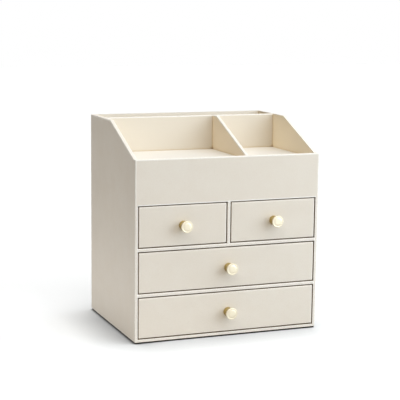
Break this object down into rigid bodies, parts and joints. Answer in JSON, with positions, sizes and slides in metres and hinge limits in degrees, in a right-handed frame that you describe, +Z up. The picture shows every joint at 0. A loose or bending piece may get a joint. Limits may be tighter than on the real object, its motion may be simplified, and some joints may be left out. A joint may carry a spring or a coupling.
{
  "type": "desktop mini drawers",
  "caption": "Leather-covered desktop case with small and wide knobbed drawers, an open divided tray with a sloping rim on top and a deep upright slot behind it.",
  "frame": {"origin": "middle of the base felt's underside, on the surface that the case stands on", "axes": "+Z up; the drawers open towards -Y; +X to the right as seen from the front"},
  "size_m": [0.24, 0.196, 0.2602],
  "materials": {
    "cream_leather": "fine-grained cream artificial leather, satin",
    "beige_lining": "short-pile beige lining",
    "base_felt": "dark felt",
    "wrapped_board": "sheet board wrapped in thin cream artificial leather",
    "board": "plain sheet fibreboard",
    "knob_brass": "polished, pale gold",
    "screw_steel": "zinc plated"
  },
  "bodies": {
    "case": {"left_side": "board", "right_side": "board", "back_panel": "board", "base_panel": "board", "lower_shelf": "board", "upper_shelf": "board", "drawer_divider": "board", "tray_deck": "board", "front_panel": "board", "tray_floor": "board", "rear_partition": "board", "tray_divider": "board", "case_cover": "cream_leather", "lower_shelf_cover": "cream_leather", "upper_shelf_cover": "cream_leather", "drawer_divider_cover": "cream_leather", "partition_cover": "cream_leather", "tray_divider_cover": "cream_leather", "left_side_lining": "beige_lining", "right_side_lining": "beige_lining", "slot_lining": "beige_lining", "tray_floor_lining": "beige_lining", "base_felt": "base_felt"},
    "small_left_drawer": {"small_left_drawer_front_board": "wrapped_board", "small_left_drawer_front_cover": "cream_leather", "small_left_drawer_left_side": "wrapped_board", "small_left_drawer_right_side": "wrapped_board", "small_left_drawer_back_board": "wrapped_board", "small_left_drawer_bottom_board": "wrapped_board", "small_left_drawer_lining": "beige_lining", "small_left_drawer_knob": "knob_brass", "small_left_drawer_knob_screw": "screw_steel"},
    "small_right_drawer": {"small_right_drawer_front_board": "wrapped_board", "small_right_drawer_front_cover": "cream_leather", "small_right_drawer_left_side": "wrapped_board", "small_right_drawer_right_side": "wrapped_board", "small_right_drawer_back_board": "wrapped_board", "small_right_drawer_bottom_board": "wrapped_board", "small_right_drawer_lining": "beige_lining", "small_right_drawer_knob": "knob_brass", "small_right_drawer_knob_screw": "screw_steel"},
    "middle_drawer": {"middle_drawer_front_board": "wrapped_board", "middle_drawer_front_cover": "cream_leather", "middle_drawer_left_side": "wrapped_board", "middle_drawer_right_side": "wrapped_board", "middle_drawer_back_board": "wrapped_board", "middle_drawer_bottom_board": "wrapped_board", "middle_drawer_lining": "beige_lining", "middle_drawer_knob": "knob_brass", "middle_drawer_knob_screw": "screw_steel"},
    "bottom_drawer": {"bottom_drawer_front_board": "wrapped_board", "bottom_drawer_front_cover": "cream_leather", "bottom_drawer_left_side": "wrapped_board", "bottom_drawer_right_side": "wrapped_board", "bottom_drawer_back_board": "wrapped_board", "bottom_drawer_bottom_board": "wrapped_board", "bottom_drawer_lining": "beige_lining", "bottom_drawer_knob": "knob_brass", "bottom_drawer_knob_screw": "screw_steel"}
  },
  "joints": [
    {"name": "small_left_drawer_slide", "type": "slide", "parent": "case", "child": "small_left_drawer", "axis": [0, -1, 0], "range_m": [0, 0.14]},
    {"name": "small_right_drawer_slide", "type": "slide", "parent": "case", "child": "small_right_drawer", "axis": [0, -1, 0], "range_m": [0, 0.14]},
    {"name": "middle_drawer_slide", "type": "slide", "parent": "case", "child": "middle_drawer", "axis": [0, -1, 0], "range_m": [0, 0.14]},
    {"name": "bottom_drawer_slide", "type": "slide", "parent": "case", "child": "bottom_drawer", "axis": [0, -1, 0], "range_m": [0, 0.14]}
  ]
}
